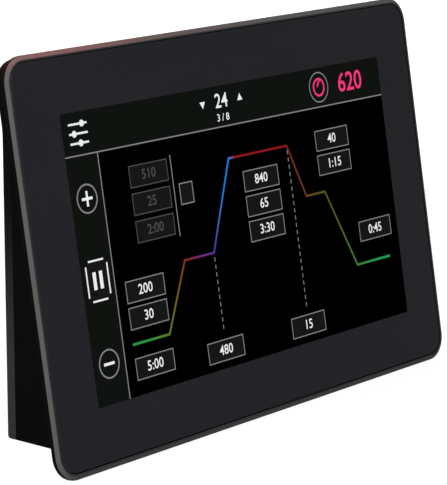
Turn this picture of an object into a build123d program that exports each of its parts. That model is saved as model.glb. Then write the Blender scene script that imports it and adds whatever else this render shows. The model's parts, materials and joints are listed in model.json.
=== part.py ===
"""Touch-screen operating unit of a dental laboratory furnace.

The screen leans back on a wedge-shaped housing whose vertical back is bolted to the furnace.
Millimetres, +Z up, +Y to the back.  The origin is the centre of the bolt pattern on the vertical back.
"""
import os
from math import cos, radians, sin

from build123d import *

# ---------------------------------------------------------------- driving dimensions
# Screen: a 10.1-inch display module behind a bonded cover glass
lean = 9.5                    # degrees that the screen leans back
picture_side_border = 27.85   # from the frame's side to the picture
picture_end_border = 26.85    # from the frame's top and bottom to the picture
active_shift = 0.9            # the picture lies this far to the right of the unit's middle
module_side_margin = 6.1      # from the picture to the edge of the display module
module_top_margin = 9.0
module_bottom_margin = 5.7
cell_thickness = 1.4
backlight_thickness = 2.7
backlight_corner = 1.5
backlight_step = 0.8          # the metal tray is this much smaller than the display cell

# Front frame and glass
frame_width = 278.4
frame_height = 179.0
frame_corner = 11.5
frame_depth = 3.5
rim_width = 2.6
rim_bevel_width = 1.9
rim_bevel_drop = 0.9
rim_softening = 0.35
frame_back_rounding = 1.2
glass_gap = 0.4               # the groove around the glass
glass_setback = 0.1
glass_thickness = 1.8
glass_edge_bevel = 0.25
tape_thickness = 0.3
tape_width = 9.0
tape_inset = 0.5
tape_inner_corner = 1.0
window_clearance = 0.5

# Rear housing
screen_depth = 18.5           # from the vertical back to the middle of the screen
screen_rise = 6.0             # the middle of the screen above the bolt pattern's centre
frame_overhang = 14.873       # how far the frame hangs below the housing's underside
housing_inset = 1.0           # the housing's sides lie this far inside the frame's
shell_depth = 8.8             # from the glass to the back of the thin upper part
shell_wall = 1.7
side_wall = 2.2
floor_wall = 2.4
shoulder_radius = 30.0        # where the leaning back turns into the vertical one
edge_radius = 3.6             # the rounded edge around the back
cavity_corner = 6.0

# Back cover
cover_depth = 6.6
cover_wall = 2.5
cover_rise = 50.0             # from the bolt pattern's centre up to the cover's top edge
parting_gap = 0.15
rib_height = 1.5              # the locating rib on the frame, inside the housing's wall
rib_width = 1.2
fit_gap = 0.2

# Bolt pattern in the back
bolt_spacing = 75.0
plate_corner = 4.0
insert_bore_radius = 2.0
insert_radius = 3.0
insert_flange_radius = 4.5
insert_flange = 1.2
mount_plate_margin = 6.5
mount_plate_thickness = 1.5
press_gap = 0.05

# Screws: core radius, head radius, head height
cover_screw = (1.2, 2.8, 1.6)
frame_screw = (1.0, 2.4, 1.5)
clip_screw = (0.75, 1.8, 1.1)
board_screw = (1.2, 2.5, 1.5)
small_screw = (0.8, 1.6, 0.9)
pilot_clearance = 0.05
screw_clearance = 0.4
screw_end_gap = 0.4
screw_recess_gap = 0.3
small_screw_length = 4.6
head_rounding = 0.4           # share of a screw head's height
socket_width = 0.45           # share of a screw head's radius
socket_depth = 0.6            # share of a screw head's height
small_rounding = 0.3

# Places of the screws, from the bolt pattern's centre or along the screen from its middle
cover_screw_inset = 6.2       # from the housing's side face
cover_screw_rise = 7.4        # the lowest ones, above the housing's underside
cover_screw_heights = (6.0, 34.0)
cover_boss_radius = 3.3
cover_boss_length = 10.0
cover_screw_length = 5.0
frame_screw_inset = 8.7       # from the frame's side
frame_screw_height = 20.0
frame_screw_rise = 51.5       # the lower ones, up the screen from the frame's lower edge
frame_boss_radius = 2.8
tab_size = 8.0
tab_thickness = 1.5
clip_heights = (39.0, -8.0)
clip_pad_radius = 2.6
clip_pad_height = 0.7
clip_thickness = 0.4
clip_width = 9.0
clip_overlap = 4.0
clip_reach = 3.4              # from the module's edge to the clip's pad

# Main board, which stands on the mount plate
board_width = 150.0
board_bottom = -50.0
board_top = 8.0
board_thickness = 1.6
board_corner = 2.0
standoff_height = 3.0
standoff_radius = 2.6
standoff_x = 46.0
standoff_heights = (-38.0, -6.0)
processor_size = 18.0
processor_height = 1.2
processor_place = (-12.0, -22.0)
spreader_margin = (5.0, 2.0)
spreader_corner = 2.0
memory_size = (9.0, 12.0, 1.0)
memory_pitch = 13.0
memory_count = 4
memory_place = (24.0, -22.0)
battery_radius = 10.0
battery_height = 1.6
battery_place = (-60.0, -32.0)
capacitor_radius = 3.0
capacitor_length = 2.6
capacitor_pitch = 8.0
capacitor_count = 4
capacitor_place = (56.0, -10.0)
connector_size = (28.0, 2.2, 5.0)
connector_height = 1.0        # the display connector's middle on the board
connector_slot_gap = 0.3
connector_slot = 0.6

# Flat cables
cable_width = 24.0
cable_thickness = 0.3
cable_bend = 0.9
cable_flat = 22.0             # the stretch that lies on the display's back
cable_drop = 4.0              # how far below the connector the cable leaves the display
cable_turn = 1.5
touch_board_size = (44.0, 12.0, 1.0)
touch_board_rise = 33.5       # its middle, up the screen from the frame's lower edge
touch_cable_width = 12.0
touch_cable_thickness = 0.15
touch_cable_bend = 0.3
touch_cable_start = 0.05      # behind the glass
touch_cable_overlap = 3.0     # on the touch controller's board

# Underside: the round signal socket, the loudspeaker and the vents
socket_inset = 43.2           # from the housing's side face
socket_radius = 6.0           # M12 thread
socket_bore_radius = 4.4
socket_flange_radius = 8.5
socket_flange = 2.0
socket_nose = 5.0
socket_body = 12.0
socket_mouth = 6.0
socket_pole_circle = 2.6
socket_pole_radius = 0.5
socket_pole_count = 7
socket_contact_disc = 1.0
socket_thread_beyond = 1.0    # the thread's length past its nut
socket_body_step = 1.0
nut_across_flats = 16.0
nut_height = 2.5
underside_middle = -15.0      # the row of openings in the underside, in front of the back
speaker_size = (36.0, 12.0, 7.0)
speaker_inset = 48.2          # from the housing's side face
speaker_gasket = 0.8
speaker_corner = 2.0
gasket_border = (2.0, 1.2)
grille_slot = (1.6, 9.0)
grille_pitch = 4.0
grille_count = 7
vent_slot = (2.0, 9.0)
vent_pitch = 5.0
vent_count = 15
back_slot = (2.2, 26.0)
back_slot_pitch = 5.5
back_slot_count = 7
back_slot_inset = 54.2        # from the housing's side face
back_slot_height = 22.0

# USB port with a hinged flap, on the right
port_rise = 24.4              # its middle above the housing's underside
port_y = -14.3
port_width = 13.1
port_thickness = 5.7
port_length = 14.0
port_shell = 0.35
port_tongue = (11.1, 1.8, 9.0)
port_clearance = 0.15
port_pad = 2.2
port_pad_margin = 2.0
port_board = (20.0, 15.0)
port_board_gap = 0.3
port_board_thickness = 1.2
port_post_radius = 2.0
port_post_margin = 3.0
port_back_wall = 1.0
port_tongue_gap = 0.5
flap_length = 23.4
flap_width = 10.2
flap_thickness = 1.3
flap_gap = 0.25
flap_pocket = 1.7
flap_pin_radius = 0.5
flap_pin_overhang = 2.0
flap_knuckle = 0.75
flap_knuckle_depth = 0.1      # from the flap's face to the knuckle
flap_notch_radius = 2.2

# Standby button, on the right above the port
button_rise = 28.0            # its middle above the port's
button_y = -11.6
button_radius = 3.5
button_proud = 0.6
button_travel = 0.8
button_gap = 0.1
button_rounding = 0.4
button_flange_radius = 4.6
button_flange = 1.0
button_stem_radius = 1.5
button_stem = 3.8
switch_size = 7.0
switch_depth = 4.5
switch_bore_gap = 0.4         # what the pressed stem leaves of the switch's bore
switch_gap = 1.0              # from the button's flange to the switch at rest
button_board_size = (8.0, 18.0)
button_board_thickness = 1.2
button_post_radius = 1.7
button_post_spacing = 13.5

# ---------------------------------------------------------------- derived sizes and places
lean_sin, lean_cos = sin(radians(lean)), cos(radians(lean))
screen = Plane(
    origin=(0, -screen_depth, screen_rise), x_dir=(1, 0, 0), z_dir=(0, -lean_cos, lean_sin)
)

active_width = frame_width - 2 * picture_side_border
active_height = frame_height - 2 * picture_end_border
module_width = active_width + 2 * module_side_margin
module_top = active_height / 2 + module_top_margin
module_bottom = -active_height / 2 - module_bottom_margin
module_height = module_top - module_bottom
module_middle = (module_top + module_bottom) / 2

glass_back = glass_setback + glass_thickness
ledge_depth = glass_back + tape_thickness
cell_back = glass_back + cell_thickness
module_back = cell_back + backlight_thickness

glass_width = frame_width - 2 * (rim_width + glass_gap)
glass_height = frame_height - 2 * (rim_width + glass_gap)
glass_corner = frame_corner - rim_width - glass_gap

side_face = frame_width / 2 - housing_inset       # outer face of the housing's side wall
side_inner = side_face - side_wall
housing_floor = screen_rise - frame_height / 2 * lean_cos + frame_overhang
floor_inner = housing_floor + floor_wall
cover_inner = -cover_wall
plate_inner = cover_inner - mount_plate_thickness
board_back = plate_inner - standoff_height
board_front = board_back - board_thickness

cover_screw_x = side_face - cover_screw_inset
frame_screw_x = frame_width / 2 - frame_screw_inset
frame_screw_heights = (frame_screw_height, frame_screw_rise - frame_height / 2)
port_height = housing_floor + port_rise
button_height = port_height + button_rise
socket_x = socket_inset - side_face
speaker_x = side_face - speaker_inset
back_slot_x = side_face - back_slot_inset
touch_board_height = touch_board_rise - frame_height / 2


def behind_screen(height, depth):
    """The (Y, Z) of a point on the middle plane, up the screen and behind the glass."""
    return (
        -screen_depth + height * lean_sin + depth * lean_cos,
        screen_rise + height * lean_cos - depth * lean_sin,
    )


def height_at_z(z, depth):
    """How far up the screen a plane parallel to it, at this depth, reaches the level z."""
    return (z - screen_rise + depth * lean_sin) / lean_cos


def height_at_y(y, depth):
    """How far up the screen a plane parallel to it, at this depth, meets the upright plane y."""
    return (y + screen_depth - depth * lean_cos) / lean_sin


def save(piece, name):
    """Label a finished piece and write its file."""
    piece.label = name
    export_step(piece, f"parts/{name}.step")


overcut = 1.0                      # how far a cutting shape runs past what it cuts


def wedge(inset, corner, front, thin_depth, back, floor, shoulder):
    """A wedge behind the screen: its outline is the frame's, moved in, and its back is upright."""
    top = frame_height / 2 - inset
    with BuildPart() as body:
        with BuildSketch(screen.offset(-front)):
            RectangleRounded(frame_width - 2 * inset, frame_height - 2 * inset, corner)
        extrude(amount=-(screen_depth + frame_height * lean_sin))
        with BuildSketch(Plane.YZ):
            with BuildLine():
                Polyline(
                    behind_screen(height_at_z(floor, front), front),
                    (back, floor),
                    behind_screen(height_at_y(back, thin_depth), thin_depth),
                    behind_screen(top + overcut, thin_depth),
                    behind_screen(top + overcut, front),
                    close=True,
                )
            make_face()
            if shoulder:
                kink = behind_screen(height_at_y(back, thin_depth), thin_depth)
                fillet(vertices().sort_by_distance((*kink, 0))[0], radius=shoulder)
        extrude(amount=frame_width, both=True, mode=Mode.INTERSECT)
    return body.part


edge_samples = (0.05, 0.5, 0.95)   # where along an edge its place is tested
on_surface = 0.01                  # nearer than this counts as lying on it
straight_across = 0.99


def on_back_edge(edge):
    """True for the edges around the back of the housing, without the seams across it."""
    for place in edge_samples:
        point = edge.position_at(place)
        depth = -screen.to_local_coords(point).Z
        on_floor = point.Z < housing_floor + on_surface and point.Y < -on_surface
        if on_floor or depth < frame_depth + on_surface:
            return False
        on_upright = abs(point.Y) < on_surface
        on_thin = abs(depth - shell_depth) < on_surface
        on_side = abs(abs(point.X) - side_face) < on_surface
        beside_shoulder = on_side and edge.geom_type != GeomType.LINE
        if not (on_upright or on_thin or beside_shoulder):
            return False
    across = abs(edge.tangent_at(0.5).X) > straight_across
    ends = (housing_floor, behind_screen(frame_height / 2 - housing_inset, shell_depth)[1])
    return not across or min(abs(edge.center().Z - end) for end in ends) < on_surface


def screw(plane, places, sizes, length):
    """Pan-head screws: the head stands on the plane, the core runs length below it."""
    core_radius, head_radius, head_height = sizes
    with BuildPart() as screws:
        for x, y in places:
            with BuildSketch(plane):
                with Locations((x, y)):
                    Circle(head_radius)
            extrude(amount=head_height)
            fillet(
                faces().sort_by_distance(plane.offset(head_height).from_local_coords((x, y, 0)))[0]
                .edges().filter_by(GeomType.CIRCLE),
                radius=head_height * head_rounding,
            )
            with BuildSketch(plane.offset(head_height)):
                with Locations((x, y)):
                    RegularPolygon(head_radius * socket_width, 6)
            extrude(amount=-head_height * socket_depth, mode=Mode.SUBTRACT)
            with BuildSketch(plane):
                with Locations((x, y)):
                    Circle(core_radius)
            extrude(amount=-length)
    return screws.part


os.makedirs("parts", exist_ok=True)

# ---------------------------------------------------------------- shared outlines
outer_wedge = wedge(
    housing_inset, frame_corner - housing_inset, frame_depth, shell_depth, 0, housing_floor,
    shoulder_radius,
)
with BuildPart() as rounded_wedge:
    add(outer_wedge)
    fillet(edges().filter_by(on_back_edge), radius=edge_radius)

back_plane = Plane(origin=(0, 0, 0), x_dir=(1, 0, 0), z_dir=(0, 1, 0))
inner_plane = back_plane.offset(cover_inner)
cavity = wedge(
    housing_inset + side_wall, cavity_corner, frame_depth, shell_depth - shell_wall, cover_inner,
    floor_inner, 0,
)


def cover_space(gap):
    """The box at the back that the cover takes up, grown by a gap."""
    height = cover_rise - housing_floor
    with BuildPart() as space:
        with BuildSketch(Plane.XY.offset(housing_floor - overcut)):
            with Locations((0, -(cover_depth + gap) / 2)):
                Rectangle(frame_width, cover_depth + gap)
        extrude(amount=height + overcut + gap)
    return space.part


# ---------------------------------------------------------------- front: glass, frame, display
with BuildPart() as cover_glass:
    with BuildSketch(screen.offset(-glass_setback)):
        RectangleRounded(glass_width, glass_height, glass_corner)
    extrude(amount=-glass_thickness)
    chamfer(faces().sort_by(Axis.Y)[0].edges(), length=glass_edge_bevel)
save(cover_glass.part, "cover_glass")

module_edges = (
    active_shift - module_width / 2,
    active_shift + module_width / 2,
)
window_width = module_width + 2 * window_clearance
window_height = module_height + 2 * window_clearance
frame_screw_places = [(side * frame_screw_x, height) for side in (-1, 1) for height in frame_screw_heights]
clip_xs = (module_edges[0] - clip_reach, module_edges[1] + clip_reach)
clip_places = [(x, height) for x in clip_xs for height in clip_heights]
pad_depth = frame_depth + clip_pad_height
tab_depth = frame_depth + rib_height

with BuildPart() as glass_tape:
    with BuildSketch(screen.offset(-glass_back)):
        RectangleRounded(
            glass_width - 2 * tape_inset, glass_height - 2 * tape_inset, glass_corner - tape_inset
        )
        RectangleRounded(
            glass_width - 2 * (tape_inset + tape_width), glass_height - 2 * (tape_inset + tape_width),
            tape_inner_corner, mode=Mode.SUBTRACT,
        )
    extrude(amount=-tape_thickness)
save(glass_tape.part, "glass_tape")

with BuildPart() as front_frame:
    with BuildSketch(screen):
        RectangleRounded(
            frame_width - 2 * rim_bevel_width, frame_height - 2 * rim_bevel_width,
            frame_corner - rim_bevel_width,
        )
    with BuildSketch(screen.offset(-rim_bevel_drop)):
        RectangleRounded(frame_width, frame_height, frame_corner)
    loft(ruled=True)
    with BuildSketch(screen.offset(-rim_bevel_drop)):
        RectangleRounded(frame_width, frame_height, frame_corner)
    extrude(amount=rim_bevel_drop - frame_depth)
    bevel_rim = [
        edge for edge in edges()
        if abs(screen.to_local_coords(edge.center()).Z + rim_bevel_drop) < 0.01
    ]
    fillet(bevel_rim, radius=rim_softening)
    back_rim = [
        edge for edge in edges() if abs(screen.to_local_coords(edge.center()).Z + frame_depth) < 0.01
    ]
    fillet(back_rim, radius=frame_back_rounding)
    # the locating rib runs inside the housing's side and top walls
    with BuildSketch(screen.offset(-frame_depth)):
        rib_half_width = side_inner - fit_gap
        rib_half_height = frame_height / 2 - housing_inset - side_wall - fit_gap
        RectangleRounded(2 * rib_half_width, 2 * rib_half_height, cavity_corner - fit_gap)
        RectangleRounded(
            2 * (rib_half_width - rib_width), 2 * (rib_half_height - rib_width),
            cavity_corner - fit_gap - rib_width, mode=Mode.SUBTRACT,
        )
        with Locations((0, -frame_height)):
            Rectangle(
                frame_width, 2 * (frame_height + height_at_z(floor_inner + 1, frame_depth)),
                mode=Mode.SUBTRACT,
            )
    extrude(amount=-rib_height)
    with BuildSketch(screen.offset(-frame_depth)):
        with Locations(*frame_screw_places):
            Circle(frame_boss_radius)
    extrude(amount=-rib_height)
    with BuildSketch(screen.offset(-frame_depth)):
        with Locations(*clip_places):
            Circle(clip_pad_radius)
    extrude(amount=-clip_pad_height)
    with BuildSketch(screen):
        RectangleRounded(
            glass_width + 2 * glass_gap, glass_height + 2 * glass_gap, glass_corner + glass_gap
        )
    extrude(amount=-ledge_depth, mode=Mode.SUBTRACT)
    with BuildSketch(screen):
        with Locations((active_shift, module_middle)):
            Rectangle(window_width, window_height)
    extrude(amount=-frame_depth, mode=Mode.SUBTRACT)
    pilot_end = ledge_depth + screw_end_gap
    with BuildSketch(screen.offset(-pilot_end)):
        with Locations(*frame_screw_places):
            Circle(frame_screw[0] + pilot_clearance)
    extrude(amount=pilot_end - tab_depth, mode=Mode.SUBTRACT)
    with BuildSketch(screen.offset(-pilot_end)):
        with Locations(*clip_places):
            Circle(clip_screw[0] + pilot_clearance)
    extrude(amount=pilot_end - pad_depth, mode=Mode.SUBTRACT)
save(front_frame.part, "front_frame")

with BuildPart() as display_cell:
    with BuildSketch(screen.offset(-glass_back)):
        with Locations((active_shift, module_middle)):
            Rectangle(module_width, module_height)
    extrude(amount=-cell_thickness)
save(display_cell.part, "display_cell")

with BuildPart() as backlight_tray:
    with BuildSketch(screen.offset(-cell_back)):
        with Locations((active_shift, module_middle)):
            RectangleRounded(
                module_width - 2 * backlight_step, module_height - 2 * backlight_step, backlight_corner
            )
    extrude(amount=-backlight_thickness)
save(backlight_tray.part, "backlight_tray")

with BuildPart() as display_clips:
    for side, clip_x in zip((-1, 1), clip_xs):
        module_edge = active_shift + side * module_width / 2
        riser_x = module_edge + side * clip_thickness
        foot_end = clip_x + side * clip_pad_radius
        arm_end = module_edge - side * clip_overlap
        for height in clip_heights:
            layers = (
                (pad_depth, pad_depth + clip_thickness, riser_x, foot_end),
                (pad_depth, module_back + clip_thickness, riser_x, riser_x + side * clip_thickness),
                (module_back, module_back + clip_thickness, arm_end, riser_x + side * clip_thickness),
            )
            for start, end, near, far in layers:
                with BuildSketch(screen.offset(-start)):
                    with Locations(((near + far) / 2, height)):
                        Rectangle(abs(far - near), clip_width)
                extrude(amount=start - end)
    with BuildSketch(screen.offset(-pad_depth)):
        with Locations(*clip_places):
            Circle(clip_screw[0] + screw_clearance)
    extrude(amount=-clip_thickness, mode=Mode.SUBTRACT)
save(display_clips.part, "display_clips")


def screen_back(depth):
    """The plane at this depth whose normal points away from the viewer, x kept to the right."""
    return Plane(
        origin=screen.offset(-depth).origin, x_dir=(1, 0, 0), z_dir=(0, lean_cos, -lean_sin)
    )


def flipped(places):
    """Places on a plane that looks back: its local y runs down the screen."""
    return [(x, -height) for x, height in places]


clip_screw_length = pad_depth + clip_thickness - pilot_end - screw_end_gap / 2
save(
    screw(screen_back(pad_depth + clip_thickness), flipped(clip_places), clip_screw, clip_screw_length),
    "clip_screws",
)
tab_back = tab_depth + tab_thickness
frame_screw_length = tab_back - pilot_end - screw_end_gap / 2
save(
    screw(screen_back(tab_back), flipped(frame_screw_places), frame_screw, frame_screw_length),
    "frame_screws",
)

# ---------------------------------------------------------------- rear housing
cover_screw_zs = (housing_floor + cover_screw_rise, *cover_screw_heights)
cover_screw_places = [(side * cover_screw_x, z) for side in (-1, 1) for z in cover_screw_zs]
pocket_floor = side_face - flap_pocket
pad_inner = side_inner - port_pad
flap_hinge_y = port_y + flap_width / 2
pin_x = side_face - flap_knuckle - flap_knuckle_depth
pocket_front = flap_hinge_y - flap_width + flap_knuckle - flap_gap
pocket_back = flap_hinge_y + flap_knuckle + flap_gap
pocket_length = flap_length + 2 * flap_gap
pad_length = pocket_length + 2 * port_pad_margin
rib_back_y = behind_screen(height_at_z(port_height + pad_length / 2, tab_depth), tab_depth)[0]
pad_front = max(pocket_front - port_pad_margin, rib_back_y + fit_gap)
pad_back = min(pocket_back + port_pad_margin, -cover_depth - parting_gap)
button_inner = side_inner - button_flange
right_wall = Plane(origin=(side_face, 0, 0), x_dir=(0, 1, 0), z_dir=(1, 0, 0))
switch_face = side_inner - button_flange - switch_gap - button_travel
button_board_face = switch_face - switch_depth
floor_plane = Plane(origin=(0, 0, housing_floor), x_dir=(1, 0, 0), z_dir=(0, 0, 1))
vent_xs = [(index - (vent_count - 1) / 2) * vent_pitch for index in range(vent_count)]
grille_xs = [speaker_x + (index - (grille_count - 1) / 2) * grille_pitch for index in range(grille_count)]

with BuildPart() as rear_housing:
    add(rounded_wedge.part)
    add(cavity, mode=Mode.SUBTRACT)
    add(cover_space(parting_gap), mode=Mode.SUBTRACT)
    # tabs that the frame's screws go through
    with BuildSketch(screen.offset(-tab_depth)):
        for x, height in frame_screw_places:
            side = 1 if x > 0 else -1
            reach = side_inner + side_wall / 2 - (frame_screw_x - frame_boss_radius)
            with Locations((side * (side_inner + side_wall / 2 - reach / 2), height)):
                Rectangle(reach, tab_size)
        with Locations(*frame_screw_places):
            Circle(frame_screw[0] + screw_clearance, mode=Mode.SUBTRACT)
    extrude(amount=-tab_thickness)
    # bosses for the cover's screws, each with a web to the side wall
    for x, z in cover_screw_places:
        side = 1 if x > 0 else -1
        rib_top_y = behind_screen(height_at_z(z + cover_boss_radius, tab_depth), tab_depth)[0]
        start = max(cover_inner - cover_boss_length, rib_top_y + fit_gap)
        with BuildSketch(Plane(origin=(0, start, 0), x_dir=(1, 0, 0), z_dir=(0, 1, 0))):
            with Locations((x, -z)):
                Circle(cover_boss_radius)
        extrude(amount=cover_inner - start)
        with BuildSketch(Plane(origin=(0, start, 0), x_dir=(1, 0, 0), z_dir=(0, 1, 0))):
            with Locations((side * (side_inner + side_wall / 2 + cover_screw_x) / 2, -z)):
                Rectangle(side_inner + side_wall / 2 - cover_screw_x, cover_boss_radius)
        extrude(amount=-cover_depth - parting_gap - start)
    with BuildSketch(inner_plane):
        with Locations(*flipped(cover_screw_places)):
            Circle(cover_screw[0] + pilot_clearance)
    extrude(amount=-cover_screw_length, mode=Mode.SUBTRACT)
    # the wall is thicker round the port, with a pocket for the flap
    with BuildSketch(Plane(origin=(pad_inner, 0, 0), x_dir=(0, 1, 0), z_dir=(1, 0, 0))):
        with Locations(((pad_front + pad_back) / 2, port_height)):
            Rectangle(pad_back - pad_front, pad_length)
    extrude(amount=side_inner - pad_inner + side_wall / 2)
    with BuildSketch(right_wall):
        with Locations(((pocket_front + pocket_back) / 2, port_height)):
            Rectangle(pocket_back - pocket_front, pocket_length)
    extrude(amount=-flap_pocket, mode=Mode.SUBTRACT)
    with BuildSketch(right_wall):
        with Locations((port_y, port_height)):
            Rectangle(port_thickness + 2 * port_clearance, port_width + 2 * port_clearance)
    extrude(amount=pad_inner - side_face, mode=Mode.SUBTRACT)
    pin_plane = Plane.XY.offset(port_height - flap_length / 2 - flap_pin_overhang)
    with BuildSketch(pin_plane):
        with Locations((pin_x, flap_hinge_y)):
            Circle(flap_pin_radius)
    extrude(amount=flap_length + 2 * flap_pin_overhang, mode=Mode.SUBTRACT)
    # the standby button's hole, and the posts that carry its board
    with BuildSketch(right_wall):
        with Locations((button_y, button_height)):
            Circle(button_radius + button_gap)
    extrude(amount=-side_wall, mode=Mode.SUBTRACT)
    with BuildSketch(Plane(origin=(button_board_face, 0, 0), x_dir=(0, 1, 0), z_dir=(1, 0, 0))):
        with Locations((button_y, button_height)):
            with GridLocations(0, button_post_spacing, 1, 2):
                Circle(button_post_radius)
    extrude(amount=side_inner - button_board_face + side_wall / 2)
    with BuildSketch(Plane(origin=(button_board_face, 0, 0), x_dir=(0, 1, 0), z_dir=(1, 0, 0))):
        with Locations((button_y, button_height)):
            with GridLocations(0, button_post_spacing, 1, 2):
                Circle(small_screw[0] + pilot_clearance)
    extrude(amount=button_flange + switch_depth, mode=Mode.SUBTRACT)
    # openings in the underside
    with BuildSketch(floor_plane):
        with Locations((socket_x, underside_middle)):
            Circle(socket_radius + press_gap)
        for x in vent_xs:
            with Locations((x, underside_middle)):
                SlotOverall(vent_slot[1], vent_slot[0], rotation=90)
        for x in grille_xs:
            with Locations((x, underside_middle)):
                SlotOverall(grille_slot[1], grille_slot[0], rotation=90)
    extrude(amount=floor_wall, mode=Mode.SUBTRACT)
save(rear_housing.part, "rear_housing")

# ---------------------------------------------------------------- back cover and mounting
post_reach = port_y + port_thickness / 2 + port_board_thickness
port_board_x = pad_inner - port_board_gap - port_board[0] / 2
port_post_x = pad_inner - port_board_gap - port_board[0] + 2 * port_post_radius
port_post_rise = port_board[1] / 2 - port_post_margin
port_post_heights = (port_height - port_post_rise, port_height + port_post_rise)
bolt_places = [(x * bolt_spacing / 2, z * bolt_spacing / 2) for x in (-1, 1) for z in (-1, 1)]

with BuildPart() as back_cover:
    add(rounded_wedge.part)
    add(cavity, mode=Mode.SUBTRACT)
    add(cover_space(0), mode=Mode.INTERSECT)
    with BuildSketch(back_plane):
        with Locations(*flipped(bolt_places)):
            Circle(insert_radius + press_gap)
        with Locations(*flipped(cover_screw_places)):
            Circle(cover_screw[0] + screw_clearance)
        for side in (-1, 1):
            for index in range(back_slot_count):
                offset_x = (index - (back_slot_count - 1) / 2) * back_slot_pitch
                with Locations((side * back_slot_x + offset_x, -back_slot_height)):
                    SlotOverall(back_slot[1], back_slot[0], rotation=90)
    extrude(amount=-cover_wall, mode=Mode.SUBTRACT)
    with BuildSketch(back_plane):
        with Locations(*flipped(cover_screw_places)):
            Circle(cover_screw[1] + screw_recess_gap)
    extrude(amount=-cover_screw[2], mode=Mode.SUBTRACT)
    # posts that carry the port's small board
    with BuildSketch(Plane(origin=(0, post_reach, 0), x_dir=(1, 0, 0), z_dir=(0, 1, 0))):
        with Locations(*[(port_post_x, -z) for z in port_post_heights]):
            Circle(port_post_radius)
    extrude(amount=cover_inner - post_reach)
    with BuildSketch(Plane(origin=(0, post_reach, 0), x_dir=(1, 0, 0), z_dir=(0, 1, 0))):
        with Locations(*[(port_post_x, -z) for z in port_post_heights]):
            Circle(small_screw[0] + pilot_clearance)
    extrude(amount=-post_reach / 2, mode=Mode.SUBTRACT)
save(back_cover.part, "back_cover")

cover_screw_seat = Plane(origin=(0, -cover_screw[2], 0), x_dir=(1, 0, 0), z_dir=(0, 1, 0))
save(
    screw(cover_screw_seat, flipped(cover_screw_places), cover_screw, cover_screw_length),
    "cover_screws",
)

plate_size = bolt_spacing + 2 * mount_plate_margin
with BuildPart() as mount_plate:
    with BuildSketch(inner_plane):
        RectangleRounded(plate_size + 2 * mount_plate_margin, plate_size, plate_corner)
        with Locations(*flipped(bolt_places)):
            Circle(insert_radius + press_gap, mode=Mode.SUBTRACT)
    extrude(amount=-mount_plate_thickness)
save(mount_plate.part, "mount_plate")

with BuildPart() as mount_inserts:
    with BuildSketch(back_plane):
        with Locations(*flipped(bolt_places)):
            Circle(insert_radius)
    extrude(amount=plate_inner)
    with BuildSketch(Plane(origin=(0, plate_inner, 0), x_dir=(1, 0, 0), z_dir=(0, 1, 0))):
        with Locations(*flipped(bolt_places)):
            Circle(insert_flange_radius)
    extrude(amount=-insert_flange)
    with BuildSketch(back_plane):
        with Locations(*flipped(bolt_places)):
            Circle(insert_bore_radius)
    extrude(amount=plate_inner - insert_flange, mode=Mode.SUBTRACT)
save(mount_inserts.part, "mount_inserts")

# ---------------------------------------------------------------- main board
standoff_places = [(side * standoff_x, z) for side in (-1, 1) for z in standoff_heights]
board_plane = Plane(origin=(0, board_back, 0), x_dir=(1, 0, 0), z_dir=(0, 1, 0))
front_plane = Plane(origin=(0, board_front, 0), x_dir=(1, 0, 0), z_dir=(0, -1, 0))

with BuildPart() as board_standoffs:
    with BuildSketch(board_plane):
        with Locations(*flipped(standoff_places)):
            RegularPolygon(standoff_radius, 6)
            Circle(board_screw[0] + pilot_clearance, mode=Mode.SUBTRACT)
    extrude(amount=standoff_height)
save(board_standoffs.part, "board_standoffs")

with BuildPart() as main_board:
    with BuildSketch(board_plane):
        with Locations((0, -(board_top + board_bottom) / 2)):
            RectangleRounded(board_width, board_top - board_bottom, board_corner)
        with Locations(*flipped(standoff_places)):
            Circle(board_screw[0] + screw_clearance, mode=Mode.SUBTRACT)
    extrude(amount=-board_thickness)
save(main_board.part, "main_board")

save(
    screw(front_plane, standoff_places, board_screw, board_thickness + standoff_height - screw_end_gap),
    "board_screws",
)

with BuildPart() as processor:
    with BuildSketch(board_plane):
        with Locations((processor_place[0], -processor_place[1])):
            Rectangle(processor_size, processor_size)
    extrude(amount=processor_height)
    chamfer(faces().sort_by(Axis.Y)[-1].edges(), length=small_rounding)
save(processor.part, "processor")

with BuildPart() as heat_spreader:
    spreader_plane = board_plane.offset(processor_height)
    with BuildSketch(spreader_plane):
        with Locations((processor_place[0], -processor_place[1])):
            RectangleRounded(
                processor_size + 2 * spreader_margin[0], processor_size + 2 * spreader_margin[1],
                spreader_corner,
            )
    extrude(amount=standoff_height - processor_height)
save(heat_spreader.part, "heat_spreader")

with BuildPart() as memory_chips:
    with BuildSketch(board_plane):
        for index in range(memory_count):
            with Locations((memory_place[0] + (index % 2) * memory_pitch,
                            -memory_place[1] - (index // 2 - 0.5) * memory_pitch)):
                Rectangle(memory_size[0], memory_size[1])
    extrude(amount=memory_size[2])
save(memory_chips.part, "memory_chips")

with BuildPart() as clock_battery:
    with BuildSketch(board_plane):
        with Locations((battery_place[0], -battery_place[1])):
            Circle(battery_radius)
    extrude(amount=battery_height)
    fillet(faces().sort_by(Axis.Y)[-1].edges(), radius=small_rounding)
save(clock_battery.part, "clock_battery")

with BuildPart() as capacitors:
    with BuildSketch(board_plane):
        with Locations((capacitor_place[0], -capacitor_place[1])):
            with GridLocations(0, capacitor_pitch, 1, capacitor_count):
                Circle(capacitor_radius)
    extrude(amount=capacitor_length)
save(capacitors.part, "capacitors")

with BuildPart() as display_connector:
    with BuildSketch(front_plane):
        with Locations((active_shift, connector_height)):
            Rectangle(connector_size[0], connector_size[2])
    extrude(amount=connector_size[1])
    with BuildSketch(Plane.YZ):
        with Locations((board_front - connector_size[1] / 2, connector_height)):
            Rectangle(connector_slot, connector_size[2])
    extrude(amount=cable_width / 2 + active_shift + connector_slot_gap, both=True, mode=Mode.SUBTRACT)
save(display_connector.part, "display_connector")


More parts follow.
